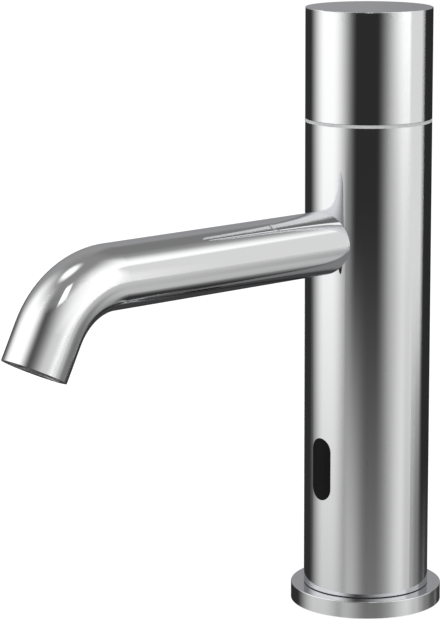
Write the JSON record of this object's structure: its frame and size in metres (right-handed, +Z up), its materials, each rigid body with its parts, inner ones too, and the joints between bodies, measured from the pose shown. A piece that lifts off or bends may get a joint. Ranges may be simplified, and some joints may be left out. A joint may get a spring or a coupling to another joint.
{
  "type": "sensor tap",
  "caption": "Touchless basin tap: a round column on a flange, a straight spout bent down at its tip, a dark sensor window below it and a turning head above a thin ring.",
  "frame": {"origin": "centre of the base flange's underside, on the deck", "axes": "+Z up along the column, the spout along -Y, hot water at -X"},
  "size_m": [0.0532, 0.1821, 0.21],
  "materials": {
    "polished_chrome": "polished",
    "black_rubber": "matt",
    "satin_grey": "satin",
    "aerator_grey": "satin",
    "moulded_white": "moulded",
    "moulded_black": "moulded",
    "cast_brass": "machined",
    "stainless_steel": "brushed",
    "valve_ceramic": "lapped",
    "window_dark": "polished",
    "diode_clear": "clear",
    "diode_black": "polished",
    "board_green": "lacquered",
    "winding_copper": "enamelled wire",
    "lead_black": "sheathed"
  },
  "bodies": {
    "tap_body": {"base_flange": "polished_chrome", "body_column": "polished_chrome", "spout_tube": "polished_chrome", "deck_gasket": "black_rubber", "foot_seal": "black_rubber", "adapter_oring": "black_rubber", "aerator_seal": "black_rubber", "base_oring": "black_rubber", "riser_orings": "black_rubber", "cable_gland": "black_rubber", "window_gasket": "black_rubber", "port_seals": "black_rubber", "stem_oring": "black_rubber", "diaphragm_membrane": "black_rubber", "glide_ring": "satin_grey", "aerator_housing": "aerator_grey", "aerator_screen": "aerator_grey", "cartridge_foot": "moulded_white", "cartridge_housing": "moulded_white", "stop_ring": "moulded_white", "thrust_washer": "moulded_white", "solenoid_body": "moulded_white", "coil_bobbin": "moulded_white", "outlet_hose": "moulded_white", "sensor_housing": "moulded_black", "sensor_cover": "moulded_black", "base_block": "cast_brass", "valve_block": "cast_brass", "spout_adapter": "cast_brass", "cartridge_nut": "cast_brass", "column_grub_screw": "stainless_steel", "sensor_screws": "stainless_steel", "bracket_screw": "stainless_steel", "solenoid_screws": "stainless_steel", "sensor_bracket": "stainless_steel", "inlet_filter_hot": "stainless_steel", "inlet_filter_cold": "stainless_steel", "hot_riser": "stainless_steel", "cold_riser": "stainless_steel", "pole_piece": "stainless_steel", "plunger_spring": "stainless_steel", "coil_case": "stainless_steel", "aerator_sleeve": "stainless_steel", "lower_disc": "valve_ceramic", "sensor_window": "window_dark", "ir_emitter": "diode_clear", "ir_receiver": "diode_black", "sensor_board": "board_green", "coil_winding": "winding_copper", "sensor_lead": "lead_black", "solenoid_lead": "lead_black"},
    "head": {"head_shell": "polished_chrome", "head_carrier": "moulded_white", "head_grub_screw": "stainless_steel", "carrier_screw": "stainless_steel", "cartridge_stem": "cast_brass", "upper_disc": "valve_ceramic"},
    "plunger": {"plunger": "stainless_steel", "plunger_pad": "black_rubber"},
    "diaphragm": {"diaphragm_core": "moulded_white"}
  },
  "joints": [
    {"name": "head_turn", "type": "hinge", "parent": "tap_body", "child": "head", "pos_m": [0, 0, 0.172], "axis": [0, 0, 1], "range_deg": [-45, 45]},
    {"name": "plunger_slide", "type": "slide", "parent": "tap_body", "child": "plunger", "axis": [0, 0, -1], "range_m": [0, 0.0015], "stiffness_N_per_m": 500, "springref_m": -0.002, "deforming": ["plunger_spring"]},
    {"name": "diaphragm_lift", "type": "slide", "parent": "tap_body", "child": "diaphragm", "axis": [0, 0, -1], "range_m": [0, 0.0012]}
  ],
  "couplings": [
    {"joint": "diaphragm_lift", "follows": "plunger_slide", "ratio": 0.8}
  ]
}
